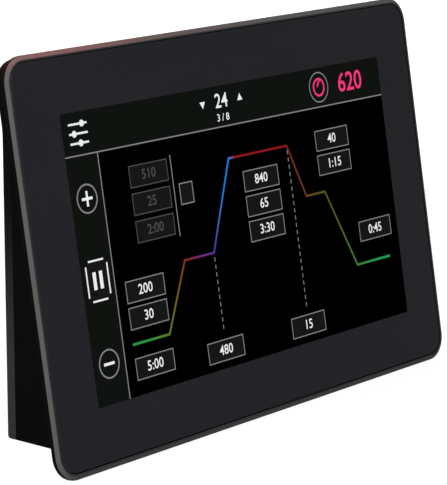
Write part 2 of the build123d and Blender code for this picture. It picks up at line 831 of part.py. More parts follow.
def strip(points, bend, thickness, width, middle_x):
    """A flat cable along points in the (Y, Z) plane."""
    with BuildPart() as cable:
        with BuildSketch(Plane.YZ.offset(middle_x - width / 2)):
            with BuildLine():
                FilletPolyline(*points, radius=bend)
            trace(line_width=thickness)
        extrude(amount=width)
    return cable.part


# the display's cable leaves the back of the tray, and turns up into the board's connector
half_strip = cable_thickness / 2
cable_lift = module_back + half_strip
slot_y = board_front - connector_size[1] / 2
cable_low = connector_height - connector_size[2] / 2 - cable_drop
tray_height = height_at_z(cable_low, cable_lift)
display_cable = strip(
    [
        behind_screen(tray_height + cable_flat, cable_lift),
        behind_screen(tray_height, cable_lift),
        (slot_y, cable_low - cable_turn),
        (slot_y, connector_height),
    ],
    cable_bend, cable_thickness, cable_width, active_shift,
)
save(display_cable, "display_cable")

# ---------------------------------------------------------------- touch controller
touch_back = module_back + touch_board_size[2]
with BuildPart() as touch_board:
    with BuildSketch(screen.offset(-module_back)):
        with Locations((active_shift, touch_board_height)):
            Rectangle(touch_board_size[0], touch_board_size[1])
    extrude(amount=-touch_board_size[2])
save(touch_board.part, "touch_board")

touch_half = touch_cable_thickness / 2
touch_board_end = touch_board_height - touch_board_size[1] / 2
below_module = module_bottom - window_clearance / 2
touch_cable = strip(
    [
        behind_screen(below_module, glass_back + touch_cable_start),
        behind_screen(below_module, touch_back + touch_half),
        behind_screen(touch_board_end + touch_cable_overlap, touch_back + touch_half),
    ],
    touch_cable_bend, touch_cable_thickness, touch_cable_width, active_shift,
)
save(touch_cable, "touch_cable")

# ---------------------------------------------------------------- signal socket
socket_thread = floor_wall + nut_height + socket_thread_beyond
with BuildPart() as signal_socket:
    with BuildSketch(floor_plane):
        with Locations((socket_x, underside_middle)):
            Circle(socket_radius)
    extrude(amount=socket_thread)
    with BuildSketch(floor_plane.offset(socket_thread)):
        with Locations((socket_x, underside_middle)):
            Circle(socket_radius - socket_body_step)
    extrude(amount=socket_body - socket_thread)
    with BuildSketch(floor_plane):
        with Locations((socket_x, underside_middle)):
            Circle(socket_flange_radius)
    extrude(amount=-socket_flange)
    with BuildSketch(floor_plane.offset(-socket_flange)):
        with Locations((socket_x, underside_middle)):
            Circle(socket_radius)
    extrude(amount=-socket_nose)
    with BuildSketch(floor_plane.offset(-socket_flange - socket_nose)):
        with Locations((socket_x, underside_middle)):
            Circle(socket_bore_radius)
    extrude(amount=socket_mouth, mode=Mode.SUBTRACT)
save(signal_socket.part, "signal_socket")

with BuildPart() as socket_contacts:
    with BuildSketch(floor_plane.offset(socket_mouth - socket_flange - socket_nose)):
        with Locations((socket_x, underside_middle)):
            Circle(socket_bore_radius)
            Circle(socket_pole_radius, mode=Mode.SUBTRACT)
            with PolarLocations(socket_pole_circle, socket_pole_count):
                Circle(socket_pole_radius, mode=Mode.SUBTRACT)
    extrude(amount=-socket_contact_disc)
save(socket_contacts.part, "socket_contacts")

with BuildPart() as socket_nut:
    with BuildSketch(floor_plane.offset(floor_wall)):
        with Locations((socket_x, underside_middle)):
            RegularPolygon(nut_across_flats / 2, 6, major_radius=False)
            Circle(socket_radius + press_gap, mode=Mode.SUBTRACT)
    extrude(amount=nut_height)
save(socket_nut.part, "socket_nut")

# ---------------------------------------------------------------- loudspeaker
with BuildPart() as speaker_gasket_pad:
    with BuildSketch(floor_plane.offset(floor_wall)):
        with Locations((speaker_x, underside_middle)):
            RectangleRounded(speaker_size[0], speaker_size[1], speaker_corner)
            RectangleRounded(
                speaker_size[0] - 2 * gasket_border[0], speaker_size[1] - 2 * gasket_border[1],
                speaker_corner - gasket_border[1] / 2, mode=Mode.SUBTRACT,
            )
    extrude(amount=speaker_gasket)
save(speaker_gasket_pad.part, "speaker_gasket")

with BuildPart() as speaker:
    with BuildSketch(floor_plane.offset(floor_wall + speaker_gasket)):
        with Locations((speaker_x, underside_middle)):
            RectangleRounded(speaker_size[0], speaker_size[1], speaker_corner)
    extrude(amount=speaker_size[2])
save(speaker.part, "speaker")

# ---------------------------------------------------------------- USB port and flap
port_mouth = Plane(origin=(pocket_floor, 0, 0), x_dir=(0, 1, 0), z_dir=(1, 0, 0))
with BuildPart() as usb_port:
    with BuildSketch(port_mouth):
        with Locations((port_y, port_height)):
            Rectangle(port_thickness, port_width)
    extrude(amount=-port_length)
    with BuildSketch(port_mouth):
        with Locations((port_y, port_height)):
            Rectangle(port_thickness - 2 * port_shell, port_width - 2 * port_shell)
    extrude(amount=port_back_wall - port_length, mode=Mode.SUBTRACT)
save(usb_port.part, "usb_port")

with BuildPart() as usb_tongue:
    tongue_y = port_y + port_thickness / 2 - port_shell - port_tongue[1] / 2 - port_tongue_gap
    with BuildSketch(port_mouth.offset(port_back_wall - port_length)):
        with Locations((tongue_y, port_height)):
            Rectangle(port_tongue[1], port_tongue[0])
    extrude(amount=port_tongue[2])
save(usb_tongue.part, "usb_tongue")

with BuildPart() as usb_board:
    usb_board_plane = Plane(
        origin=(0, port_y + port_thickness / 2, 0), x_dir=(1, 0, 0), z_dir=(0, 1, 0)
    )
    with BuildSketch(usb_board_plane):
        with Locations((port_board_x, -port_height)):
            Rectangle(port_board[0], port_board[1])
        with Locations(*[(port_post_x, -z) for z in port_post_heights]):
            Circle(small_screw[0] + screw_clearance, mode=Mode.SUBTRACT)
    extrude(amount=port_board_thickness)
save(usb_board.part, "usb_board")

with BuildPart() as usb_flap:
    flap_front = flap_hinge_y - flap_width + flap_knuckle
    with BuildSketch(Plane.XY.offset(port_height - flap_length / 2)):
        with Locations((side_face - flap_thickness / 2, (flap_front + flap_hinge_y) / 2)):
            Rectangle(flap_thickness, flap_hinge_y - flap_front)
        with Locations((pin_x, flap_hinge_y)):
            Circle(flap_knuckle)
        with Locations((pin_x, flap_hinge_y)):
            Circle(flap_pin_radius + pilot_clearance, mode=Mode.SUBTRACT)
    extrude(amount=flap_length)
    with BuildSketch(right_wall):
        with Locations((flap_front, port_height)):
            Circle(flap_notch_radius)
    extrude(amount=-flap_thickness, mode=Mode.SUBTRACT)
save(usb_flap.part, "usb_flap")

with BuildPart() as flap_pin:
    with BuildSketch(pin_plane):
        with Locations((pin_x, flap_hinge_y)):
            Circle(flap_pin_radius)
    extrude(amount=flap_length + 2 * flap_pin_overhang)
save(flap_pin.part, "flap_pin")

# ---------------------------------------------------------------- standby button
with BuildPart() as standby_button:
    with BuildSketch(right_wall.offset(button_proud)):
        with Locations((button_y, button_height)):
            Circle(button_radius)
    extrude(amount=button_inner - side_face - button_proud)
    fillet(faces().sort_by(Axis.X)[-1].edges(), radius=button_rounding)
    with BuildSketch(right_wall.offset(-side_wall)):
        with Locations((button_y, button_height)):
            Circle(button_flange_radius)
    extrude(amount=-button_flange)
    with BuildSketch(right_wall.offset(-side_wall - button_flange)):
        with Locations((button_y, button_height)):
            Circle(button_stem_radius)
    extrude(amount=-button_stem)
save(standby_button.part, "standby_button")

with BuildPart() as button_switch:
    with BuildSketch(Plane(origin=(switch_face, 0, 0), x_dir=(0, 1, 0), z_dir=(1, 0, 0))):
        with Locations((button_y, button_height)):
            Rectangle(switch_size, switch_size)
    extrude(amount=-switch_depth)
    with BuildSketch(Plane(origin=(switch_face, 0, 0), x_dir=(0, 1, 0), z_dir=(1, 0, 0))):
        with Locations((button_y, button_height)):
            Circle(button_stem_radius + pilot_clearance)
    extrude(amount=-(button_stem - switch_gap + switch_bore_gap), mode=Mode.SUBTRACT)
save(button_switch.part, "button_switch")

with BuildPart() as button_board:
    with BuildSketch(Plane(origin=(button_board_face, 0, 0), x_dir=(0, 1, 0), z_dir=(1, 0, 0))):
        with Locations((button_y, button_height)):
            Rectangle(*button_board_size)
            with GridLocations(0, button_post_spacing, 1, 2):
                Circle(small_screw[0] + screw_clearance, mode=Mode.SUBTRACT)
    extrude(amount=-button_board_thickness)
save(button_board.part, "button_board")

button_back = Plane(
    origin=(button_board_face - button_board_thickness, 0, 0), x_dir=(0, -1, 0), z_dir=(-1, 0, 0)
)
button_screw_places = [
    (-button_y, button_height + step * button_post_spacing / 2) for step in (-1, 1)
]
port_front = Plane(origin=(0, port_y + port_thickness / 2, 0), x_dir=(1, 0, 0), z_dir=(0, -1, 0))
save(screw(button_back, button_screw_places, small_screw, small_screw_length), "button_screws")
port_screw_places = [(port_post_x, z) for z in port_post_heights]
save(screw(port_front, port_screw_places, small_screw, small_screw_length), "port_screws")
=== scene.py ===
import json
import math

import bmesh
import bpy
from mathutils import Matrix, Vector


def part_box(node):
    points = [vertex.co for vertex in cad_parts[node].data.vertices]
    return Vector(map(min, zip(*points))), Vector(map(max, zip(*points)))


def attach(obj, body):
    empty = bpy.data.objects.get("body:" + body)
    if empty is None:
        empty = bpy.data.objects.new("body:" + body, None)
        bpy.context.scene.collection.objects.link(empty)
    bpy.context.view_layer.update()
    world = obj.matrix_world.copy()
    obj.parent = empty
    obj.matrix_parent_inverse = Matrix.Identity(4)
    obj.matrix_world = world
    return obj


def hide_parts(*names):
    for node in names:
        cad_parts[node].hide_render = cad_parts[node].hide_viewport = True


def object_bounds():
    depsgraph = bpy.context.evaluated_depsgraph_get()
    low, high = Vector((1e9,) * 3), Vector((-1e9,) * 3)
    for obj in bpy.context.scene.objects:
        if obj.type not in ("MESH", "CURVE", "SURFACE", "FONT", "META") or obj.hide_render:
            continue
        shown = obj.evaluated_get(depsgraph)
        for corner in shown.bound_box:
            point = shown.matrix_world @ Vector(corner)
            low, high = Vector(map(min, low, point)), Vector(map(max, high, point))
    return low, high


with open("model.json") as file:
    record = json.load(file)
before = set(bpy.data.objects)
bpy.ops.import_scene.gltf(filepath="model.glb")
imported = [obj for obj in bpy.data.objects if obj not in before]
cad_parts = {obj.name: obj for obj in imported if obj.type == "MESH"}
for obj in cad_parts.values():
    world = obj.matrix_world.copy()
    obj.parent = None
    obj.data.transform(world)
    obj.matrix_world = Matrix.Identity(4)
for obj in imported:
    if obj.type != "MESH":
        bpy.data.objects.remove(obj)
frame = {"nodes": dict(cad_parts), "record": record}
cad_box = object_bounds()

MM = 0.001

# ---------------------------------------------------------------- sizes, in millimetres
LEAN = math.radians(9.5)
SCREEN_DEPTH = 18.5
SCREEN_RISE = 6.0
GLASS = (272.4, 173.0)
GLASS_CORNER = 8.5
GLASS_TOP = -0.1              # height of the glass's front, just below the frame's front plane
GLASS_THICKNESS = 1.8
GLASS_BEVEL = 0.35
PICTURE = (222.7, 125.3)
PICTURE_SHIFT = 0.9
MARK_LEVEL = -0.085           # height of the picture's lowest marks, just clear of the glass
MARK_STEP = 0.012
COLUMN, HEADER = 19.8, 18.4   # the picture's left key column and its header
FIELD_SIZE = (25.0, 9.7)
OUTLINE_WIDTH = 0.45
RULE_WIDTH = 0.55
VALUE_HEIGHT = 4.5
DIGIT_EM = 1.38               # type size that gives digits of height 1
DIGIT_WEIGHT = 0.012          # how much the digits are fattened, as a share of their height
SLIDER_PITCH = 4.1
SLIDER_LENGTH, SLIDER_WIDTH = 11.4, 0.9
KNOB_RADIUS = 1.45
KNOB_SHIFTS = (2.6, -2.6, 0.8)
PAGE_X, PAGE_Y, PAGE_HEIGHT = 104.0, 7.0, 6.6
COUNT_Y, COUNT_HEIGHT = 14.4, 3.4
ARROW_REACH, ARROW_RADIUS = 13.0, 2.1
READING_X, READING_Y, READING_HEIGHT = 199.0, 9.4, 9.2
DIAL_X, DIAL_RADIUS = 175.0, 7.2
DIAL_CORE_RADIUS, DIAL_CORE_WIDTH = 4.4, 1.0
HAND_Y, HAND_WIDTH, HAND_LENGTH, HAND_TURN = 7.2, 1.0, 4.0, -0.6
PLUS_Y, PAUSE_Y, MINUS_Y = 37.0, 72.0, 108.0
KEY_RADIUS, KEY_RING_WIDTH = 6.4, 0.7
SIGN_LENGTH, SIGN_WIDTH = 6.6, 1.2
PAUSE_FIELD, PAUSE_CORNER = (13.0, 17.0), 2.0
PAUSE_BAR, PAUSE_REACH = (2.0, 7.6), 2.0
PAUSE_FRAME_REACH = (6.6, 8.6)        # the broken frame's sides, from the key's middle
PAUSE_FRAME_BARS = (9.4, 13.4)        # how long its level and its upright bars are
PAUSE_FRAME_WIDTH = 0.8
CURVE_WIDTH = 1.15
STROKE_FLATNESS = 0.02        # what is left of a drawn line's thickness
DASH_PITCH, DASH_LENGTH, DASH_START = 3.4, 1.9, 1.0
THIN_LINE = 0.5
DIVIDER_X, DIVIDER_LENGTH = 65.0, 36.0
SMALL_FIELD_X, SMALL_FIELD_WIDTH = 73.0, 9.0
SMALL_FIELD_Y = 44.0
STANDBY_RADIUS = 1.7
STANDBY_LINE = 0.36
STANDBY_GAP = 0.87            # cosine of half the angle that the ring is open at its top
STANDBY_BAR_LENGTH, STANDBY_BAR_RISE = 1.6, 1.2
PRINT_LIFT = 0.012
PRINT_THICKNESS = 0.02

# ---------------------------------------------------------------- viewpoint, in millimetres
CAMERA_PLACE = (-870.5, -731.1, 241.6)
CAMERA_FORWARD = (0.7504, 0.6257, -0.2132)
CAMERA_LENS = 188.4

# ---------------------------------------------------------------- surroundings, in metres and watts
FLOOR_HALF_WIDTH = 9.0
FLOOR_TONE = 0.08
GLOW_NEAR, GLOW_FAR = 0.89, 1.0       # the floor's own white, beside the object and away from it
GLOW_FADE = (0.2, 1.1)                # the distances between which it changes
SKY_LIGHT, SKY_SEEN = 0.1, 0.9        # what the surround lights with, and adds where it is seen
# Lamps: name, place, what it points at, side, power, colour
LAMPS = (
    ("key", (-1.68, -0.9, 0.9), (0, 0, 0), 0.9, 84.0, (1, 1, 1)),
    ("top", (0.0, -0.1, 2.2), (0, 0, 0), 1.8, 24.0, (1, 1, 1)),
    ("back", (1.5, 1.6, 0.7), (0, 0, 0), 0.9, 60.0, (1, 1, 1)),
    ("red", (-0.115, 0.02, 0.16), (-0.105, 0.0, 0.09), 0.05, 0.45, (1.0, 0.12, 0.1)),
)

# The screen's own frame: x to the right, y up the screen, z out of it
SCREEN = Matrix((
    (1, 0, 0, 0),
    (0, math.sin(LEAN), -math.cos(LEAN), -SCREEN_DEPTH),
    (0, math.cos(LEAN), math.sin(LEAN), SCREEN_RISE),
    (0, 0, 0, 1),
))
SCREEN_NORMAL = (0.0, -math.cos(LEAN), math.sin(LEAN))
TO_METRES = Matrix.Scale(MM, 4)


# ---------------------------------------------------------------- shader groups
def new_group(name, inputs, outputs):
    """A shader group with named sockets; returns the group, its input node and its output node."""
    group = bpy.data.node_groups.new(name, "ShaderNodeTree")
    for kind, label, value in inputs:
        socket = group.interface.new_socket(label, in_out="INPUT", socket_type=kind)
        socket.default_value = value
    for kind, label in outputs:
        group.interface.new_socket(label, in_out="OUTPUT", socket_type=kind)
    return group, group.nodes.new("NodeGroupInput"), group.nodes.new("NodeGroupOutput")


def noise(tree, vector, scale, detail=3.0):
    """A noise texture on that vector; scale is a socket or a number."""
    node = tree.nodes.new("ShaderNodeTexNoise")
    node.inputs["Detail"].default_value = detail
    tree.links.new(vector, node.inputs["Vector"])
    if isinstance(scale, (int, float)):
        node.inputs["Scale"].default_value = scale
    else:
        tree.links.new(scale, node.inputs["Scale"])
    return node.outputs["Fac"]


def maths(tree, operation, first, second=None, third=None):
    """A Math node; each operand is a socket or a number."""
    node = tree.nodes.new("ShaderNodeMath")
    node.operation = operation
    for socket, value in zip(node.inputs, (first, second, third)):
        if value is None:
            continue
        if isinstance(value, (int, float)):
            socket.default_value = value
        else:
            tree.links.new(value, socket)
    return node.outputs[0]


def blend_colours(tree, factor, first, second):
    """A Mix node for colours; the colours are sockets or tuples."""
    node = tree.nodes.new("ShaderNodeMix")
    node.data_type = "RGBA"
    tree.links.new(factor, node.inputs[0])
    for socket, value in ((node.inputs[6], first), (node.inputs[7], second)):
        if isinstance(value, tuple):
            socket.default_value = value
        else:
            tree.links.new(value, socket)
    return node.outputs[2]


def object_place(tree):
    return tree.nodes.new("ShaderNodeTexCoord").outputs["Object"]


SURFACE_OUTPUTS = (
    ("NodeSocketColor", "Colour"), ("NodeSocketFloat", "Roughness"), ("NodeSocketVector", "Normal"),
)


def moulded_grain():
    """Fine spark-eroded grain of a moulded or coated surface, with slow changes of tone and gloss."""
    group, given, put_out = new_group(
        "Moulded grain",
        [
            ("NodeSocketColor", "Colour", (0.5, 0.5, 0.5, 1)),
            ("NodeSocketColor", "Worn colour", (0.6, 0.6, 0.6, 1)),
            ("NodeSocketFloat", "Roughness", 0.5),
            ("NodeSocketFloat", "Grain scale", 1500.0),
            ("NodeSocketFloat", "Grain depth", 0.2),
            ("NodeSocketFloat", "Unevenness", 0.1),
        ],
        SURFACE_OUTPUTS,
    )
    place = object_place(group)
    fine = noise(group, place, given.outputs["Grain scale"], detail=2.0)
    slow = noise(group, place, scale=26.0, detail=4.0)
    swing = maths(group, "MULTIPLY", maths(group, "SUBTRACT", slow, 0.5), given.outputs["Unevenness"])
    rough = maths(group, "ADD", given.outputs["Roughness"], swing)
    grit = maths(group, "MULTIPLY", maths(group, "SUBTRACT", fine, 0.5), 0.08)
    rough = maths(group, "ADD", rough, grit)
    worn = maths(group, "MULTIPLY", maths(group, "POWER", slow, 3.0), 1.2)
    group.links.new(
        blend_colours(group, worn, given.outputs["Colour"], given.outputs["Worn colour"]),
        put_out.inputs["Colour"],
    )
    group.links.new(rough, put_out.inputs["Roughness"])
    bump = group.nodes.new("ShaderNodeBump")
    bump.inputs["Distance"].default_value = 0.00006
    group.links.new(given.outputs["Grain depth"], bump.inputs["Strength"])
    group.links.new(fine, bump.inputs["Height"])
    group.links.new(bump.outputs["Normal"], put_out.inputs["Normal"])
    return group


def drawn_metal():
    """The fine lines that rolling or turning leaves in metal, along one direction."""
    group, given, put_out = new_group(
        "Drawn metal",
        [
            ("NodeSocketColor", "Colour", (0.6, 0.6, 0.6, 1)),
            ("NodeSocketColor", "Dull colour", (0.4, 0.4, 0.4, 1)),
            ("NodeSocketFloat", "Roughness", 0.3),
            ("NodeSocketVector", "Line scale", (60.0, 60.0, 2500.0)),
        ],
        SURFACE_OUTPUTS,
    )
    place = object_place(group)
    stretch = group.nodes.new("ShaderNodeVectorMath")
    stretch.operation = "MULTIPLY"
    group.links.new(place, stretch.inputs[0])
    group.links.new(given.outputs["Line scale"], stretch.inputs[1])
    lines = noise(group, stretch.outputs[0], scale=1.0, detail=2.0)
    slow = noise(group, place, scale=90.0)
    group.links.new(
        blend_colours(group, slow, given.outputs["Colour"], given.outputs["Dull colour"]),
        put_out.inputs["Colour"],
    )
    rough = maths(group, "ADD", given.outputs["Roughness"], maths(group, "MULTIPLY", lines, 0.18))
    group.links.new(rough, put_out.inputs["Roughness"])
    bump = group.nodes.new("ShaderNodeBump")
    bump.inputs["Strength"].default_value = 0.25
    bump.inputs["Distance"].default_value = 0.00003
    group.links.new(lines, bump.inputs["Height"])
    group.links.new(bump.outputs["Normal"], put_out.inputs["Normal"])
    return group


def touched_glass():
    """Glass that is wiped and touched: faint broad smears and a few soft marks."""
    group, given, put_out = new_group(
        "Touched glass",
        [
            ("NodeSocketColor", "Colour", (0.01, 0.01, 0.01, 1)),
            ("NodeSocketColor", "Smear colour", (0.02, 0.02, 0.02, 1)),
            ("NodeSocketFloat", "Roughness", 0.1),
            ("NodeSocketFloat", "Smears", 0.1),
        ],
        [("NodeSocketColor", "Colour"), ("NodeSocketFloat", "Roughness")],
    )
    place = object_place(group)
    stretch = group.nodes.new("ShaderNodeVectorMath")
    stretch.operation = "MULTIPLY"
    stretch.inputs[1].default_value = (9.0, 9.0, 30.0)
    group.links.new(place, stretch.inputs[0])
    broad = noise(group, stretch.outputs[0], scale=1.0, detail=5.0)
    small = noise(group, place, scale=160.0, detail=2.0)
    smear = maths(group, "MULTIPLY", maths(group, "POWER", broad, 2.0), small)
    group.links.new(
        blend_colours(group, smear, given.outputs["Colour"], given.outputs["Smear colour"]),
        put_out.inputs["Colour"],
    )
    rough = maths(group, "MULTIPLY_ADD", smear, given.outputs["Smears"], given.outputs["Roughness"])
    group.links.new(rough, put_out.inputs["Roughness"])
    return group


def lit_display():
    """The light of a display's marks: a colour that the backlight carries a little unevenly."""
    group, given, put_out = new_group(
        "Lit display",
        [("NodeSocketColor", "Colour", (1, 1, 1, 1)), ("NodeSocketFloat", "Unevenness", 0.15)],
        [("NodeSocketColor", "Colour")],
    )
    slow = noise(group, object_place(group), scale=14.0, detail=1.0)
    dark = maths(group, "MULTIPLY", slow, given.outputs["Unevenness"])
    group.links.new(
        blend_colours(group, dark, given.outputs["Colour"], (0.0, 0.0, 0.0, 1)),
        put_out.inputs["Colour"],
    )
    return group


def facing():
    """Where a surface looks along a direction: 0 below the first cosine, 1 above the second."""
    group, given, put_out = new_group(
        "Facing",
        [
            ("NodeSocketVector", "Direction", (0.0, 0.0, 1.0)),
            ("NodeSocketFloat", "From", 0.4),
            ("NodeSocketFloat", "To", 0.7),
        ],
        [("NodeSocketFloat", "Mask")],
    )
    dot = group.nodes.new("ShaderNodeVectorMath")
    dot.operation = "DOT_PRODUCT"
    group.links.new(group.nodes.new("ShaderNodeTexCoord").outputs["Normal"], dot.inputs[0])
    group.links.new(given.outputs["Direction"], dot.inputs[1])
    step_between(group, dot.outputs["Value"], given, put_out)
    return group


def rise():
    """How far up the object a point is: 0 below the first height, 1 above the second, in metres."""
    group, given, put_out = new_group(
        "Rise",
        [("NodeSocketFloat", "From", 0.0), ("NodeSocketFloat", "To", 0.1)],
        [("NodeSocketFloat", "Mask")],
    )
    split = group.nodes.new("ShaderNodeSeparateXYZ")
    group.links.new(object_place(group), split.inputs[0])
    step_between(group, split.outputs["Z"], given, put_out)
    return group


def step_between(group, value, given, put_out):
    """Puts out a smooth step of the value between the group's From and To."""
    step = group.nodes.new("ShaderNodeMapRange")
    step.interpolation_type = "SMOOTHSTEP"
    group.links.new(value, step.inputs["Value"])
    group.links.new(given.outputs["From"], step.inputs["From Min"])
    group.links.new(given.outputs["To"], step.inputs["From Max"])
    group.links.new(step.outputs["Result"], put_out.inputs["Mask"])


GRAIN = moulded_grain()
FACING = facing()
RISE = rise()
DRAWN = drawn_metal()
TOUCHED = touched_glass()
LIT = lit_display()


# ---------------------------------------------------------------- materials
def grey(value):
    return (value, value, value, 1)


def bare_material(name, **sockets):
    """A material with its Principled shader; plain numbers are set on the shader's own sockets."""
    material = bpy.data.materials.new(name)
    material.use_nodes = True
    shader = material.node_tree.nodes["Principled BSDF"]
    for label, value in sockets.items():
        shader.inputs[label.replace("_", " ")].default_value = value
    return material, material.node_tree, shader


def place_group(tree, group, **values):
    node = tree.nodes.new("ShaderNodeGroup")
    node.node_tree = group
    for label, value in values.items():
        node.inputs[label.replace("_", " ")].default_value = value
    return node


def coated(name, group, values, outputs=("Colour", "Roughness", "Normal"), **sockets):
    """A material whose colour, roughness and normal come from one of the surface groups."""
    material, tree, shader = bare_material(name, **sockets)
    node = place_group(tree, group, **values)
    sockets_fed = {"Colour": "Base Color", "Roughness": "Roughness", "Normal": "Normal"}
    for label in outputs:
        tree.links.new(node.outputs[label], shader.inputs[sockets_fed[label]])
    return material


def plastic(name, colour, worn, roughness, grain=1500.0, depth=0.25, unevenness=0.1, **sockets):
    values = dict(
        Colour=colour, Worn_colour=worn, Roughness=roughness, Grain_scale=grain, Grain_depth=depth,
        Unevenness=unevenness,
    )
    return coated(name, GRAIN, values, **sockets)


def two_finishes_with_painted_tones(name, mask, first, second, **sockets):
    """A moulded material that goes from one finish and colour to another where the mask turns from 0
    to 1; the colour change paints light or shade.
    """
    material, tree, shader = bare_material(name, **sockets)
    mask_group, mask_values = mask
    share = place_group(tree, mask_group, **mask_values).outputs["Mask"]
    low, high = (place_group(tree, GRAIN, **values) for values in (first, second))
    colour = blend_colours(tree, share, low.outputs["Colour"], high.outputs["Colour"])
    swing = maths(tree, "SUBTRACT", high.outputs["Roughness"], low.outputs["Roughness"])
    rough = maths(tree, "MULTIPLY_ADD", share, swing, low.outputs["Roughness"])
    tree.links.new(colour, shader.inputs["Base Color"])
    tree.links.new(rough, shader.inputs["Roughness"])
    tree.links.new(low.outputs["Normal"], shader.inputs["Normal"])
    return material


def paint_shade_where(material, mask, colour):
    """Lays a painted shade colour over a finished material where the mask is 1."""
    tree = material.node_tree
    base = tree.nodes["Principled BSDF"].inputs["Base Color"]
    mask_group, mask_values = mask
    share = place_group(tree, mask_group, **mask_values).outputs["Mask"]
    tree.links.new(blend_colours(tree, share, base.links[0].from_socket, colour), base)


def metal(name, colour, dull, roughness, lines=(60.0, 60.0, 2500.0), **sockets):
    values = dict(Colour=colour, Dull_colour=dull, Roughness=roughness, Line_scale=lines)
    return coated(name, DRAWN, values, Metallic=1.0, **sockets)


def glass(name, colour, smear, roughness, smears, **sockets):
    values = dict(Colour=colour, Smear_colour=smear, Roughness=roughness, Smears=smears)
    return coated(name, TOUCHED, values, outputs=("Colour", "Roughness"), **sockets)


def light_of(name, colour, strength, ramp=None):
    """A mark of the picture: black glass that gives off light, of one colour or along a ramp of x."""
    material, tree, shader = bare_material(name, Roughness=0.4, Emission_Strength=strength)
    shader.inputs["Base Color"].default_value = (0, 0, 0, 1)
    shader.inputs["Specular IOR Level"].default_value = 0.0
    node = place_group(tree, LIT)
    if ramp:
        split = tree.nodes.new("ShaderNodeSeparateXYZ")
        tree.links.new(object_place(tree), split.inputs[0])
        along = maths(tree, "MULTIPLY_ADD", split.outputs["X"], 1 / (PICTURE[0] * MM), 0.5)
        steps = tree.nodes.new("ShaderNodeValToRGB")
        steps.color_ramp.elements[0].position, steps.color_ramp.elements[0].color = ramp[0]
        steps.color_ramp.elements[1].position, steps.color_ramp.elements[1].color = ramp[-1]
        for position, tone in ramp[1:-1]:
            steps.color_ramp.elements.new(position).color = tone
        tree.links.new(along, steps.inputs["Fac"])
        tree.links.new(steps.outputs["Color"], node.inputs["Colour"])
    else:
        node.inputs["Colour"].default_value = colour
    tree.links.new(node.outputs["Colour"], shader.inputs["Emission Color"])
    return material


border_glass = glass(
    "border glass", (0.0097, 0.0108, 0.0136, 1), (0.019, 0.0135, 0.015, 1), roughness=0.2, smears=0.4,
    Specular_IOR_Level=0.03,
)
picture_glass = glass(
    "picture glass", grey(0.0), grey(0.0006), roughness=0.16, smears=0.3, Specular_IOR_Level=0.0,
)
glass_edge = glass(
    "ground glass edge", (0.009, 0.01, 0.011, 1), grey(0.016), roughness=0.35, smears=0.4,
    Specular_IOR_Level=0.06,
)

# Painted shade: the side, facing away from the screen, is coloured near black and the rim grey, so the
# side reads as shaded; the rim is satin and the side matt.
frame_black_with_painted_shade = two_finishes_with_painted_tones(
    "frame black, satin on the rim and matt on the side",
    (FACING, dict(Direction=SCREEN_NORMAL, From=0.5, To=0.85)),
    dict(Colour=grey(0.0016), Worn_colour=grey(0.003), Roughness=0.6, Grain_scale=1700.0,
         Grain_depth=0.25, Unevenness=0.1),
    dict(Colour=(0.061, 0.06, 0.059, 1), Worn_colour=(0.071, 0.069, 0.068, 1), Roughness=0.42,
         Unevenness=0.08),
    Specular_IOR_Level=0.008,
)
# Painted shade: the flat front of the rim, facing straight out of the screen, is coloured darker than
# its rounded edge.
paint_shade_where(frame_black_with_painted_shade, (FACING, dict(Direction=SCREEN_NORMAL, From=0.94, To=0.985)), grey(0.027))
housing_black = plastic(
    "matt housing black", grey(0.0015), grey(0.003), roughness=0.72, grain=1600.0, depth=0.35,
    unevenness=0.12, Specular_IOR_Level=0.006,
)
# Painted sheen: the cover is coloured lighter low down and fades to near black higher up, like a
# reflection that fades upward; it also goes from satin to matt.
cover_black_with_painted_sheen = two_finishes_with_painted_tones(
    "cover black, satin low down and matt higher up",
    (RISE, dict(From=-0.045, To=0.044)),
    dict(Colour=grey(0.0175), Worn_colour=grey(0.022), Roughness=0.4, Grain_scale=1900.0,
         Grain_depth=0.22, Unevenness=0.1),
    dict(Colour=grey(0.0015), Worn_colour=grey(0.003), Roughness=0.7, Unevenness=0.1),
    Specular_IOR_Level=0.012,
)
key_black = plastic(
    "button black", grey(0.007), grey(0.014), roughness=0.42, grain=2200.0, depth=0.2,
    Specular_IOR_Level=0.15,
)
rubber_black = plastic(
    "rubber black", grey(0.005), grey(0.01), roughness=0.68, grain=1300.0, depth=0.3, unevenness=0.15,
    Specular_IOR_Level=0.08,
)
foam = plastic(
    "foam tape", grey(0.02), grey(0.05), roughness=0.95, grain=900.0, depth=0.8, unevenness=0.05,
)
cell = glass("display cell", (0.012, 0.014, 0.02, 1), grey(0.03), roughness=0.1, smears=0.3)
sheet_steel = metal("zinc sheet", (0.55, 0.57, 0.6, 1), (0.42, 0.43, 0.45, 1), roughness=0.28)
screw_steel = metal("black-zinc screws", (0.1, 0.1, 0.105, 1), (0.06, 0.06, 0.065, 1), roughness=0.34)
brass = metal(
    "brass", (0.78, 0.56, 0.26, 1), (0.55, 0.4, 0.2, 1), roughness=0.25, lines=(2500.0, 60.0, 60.0),
)
board_green = plastic(
    "board lacquer", (0.006, 0.06, 0.022, 1), (0.012, 0.1, 0.04, 1), roughness=0.32, grain=500.0,
    depth=0.15,
)
chip_black = plastic("chip resin", grey(0.02), grey(0.035), roughness=0.5, grain=1800.0, depth=0.3)
aluminium = metal("aluminium", (0.8, 0.81, 0.82, 1), (0.62, 0.63, 0.65, 1), roughness=0.3)
cream = plastic("connector plastic", (0.62, 0.58, 0.48, 1), (0.5, 0.46, 0.37, 1), roughness=0.45)
film = plastic(
    "cable film", (0.52, 0.26, 0.06, 1), (0.4, 0.18, 0.04, 1), roughness=0.25, grain=700.0, depth=0.1,
)
nickel = metal(
    "nickel", (0.62, 0.59, 0.54, 1), (0.48, 0.46, 0.42, 1), roughness=0.2, lines=(60.0, 60.0, 1800.0),
)
insert_black = plastic("insert black", grey(0.014), grey(0.03), roughness=0.5, depth=0.2)

